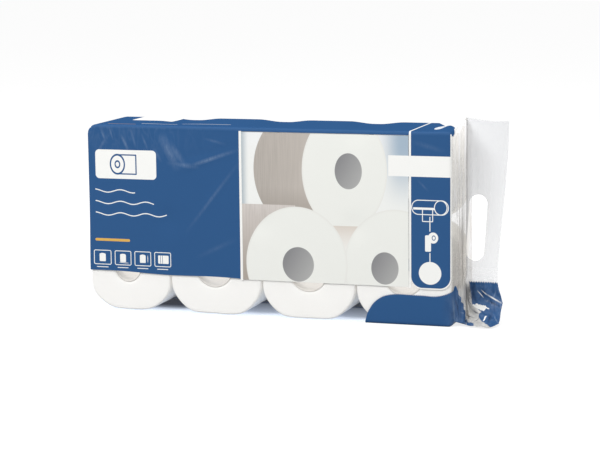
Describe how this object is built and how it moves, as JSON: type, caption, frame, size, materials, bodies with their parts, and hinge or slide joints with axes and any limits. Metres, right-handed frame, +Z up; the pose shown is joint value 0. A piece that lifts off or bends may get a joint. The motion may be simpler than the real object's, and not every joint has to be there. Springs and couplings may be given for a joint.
{
  "type": "toilet paper roll pack",
  "caption": "Pack of toilet paper rolls, stacked in layers inside printed clear film, with a gathered end that forms a flat carrying handle with a hand slot.",
  "frame": {"origin": "middle of the base, on the surface that the pack stands on, under the middle of the block of rolls", "axes": "+X along the pack towards the handle, +Y from the printed front to the back along the axes of the rolls, +Z up"},
  "size_m": [0.507, 0.1019, 0.2382],
  "materials": {
    "printed_film": "thin polyethylene film, clear where unprinted, blue and white print",
    "tissue": "soft embossed white tissue",
    "core_board": "matt grey board"
  },
  "bodies": {
    "root": {"roll_lower_1": "tissue", "core_lower_1": "core_board", "roll_lower_2": "tissue", "core_lower_2": "core_board", "roll_lower_3": "tissue", "core_lower_3": "core_board", "roll_lower_4": "tissue", "core_lower_4": "core_board", "roll_upper_1": "tissue", "core_upper_1": "core_board", "roll_upper_2": "tissue", "core_upper_2": "core_board", "roll_upper_3": "tissue", "core_upper_3": "core_board", "roll_upper_4": "tissue", "core_upper_4": "core_board", "film_wrap": "printed_film"}
  },
  "joints": []
}
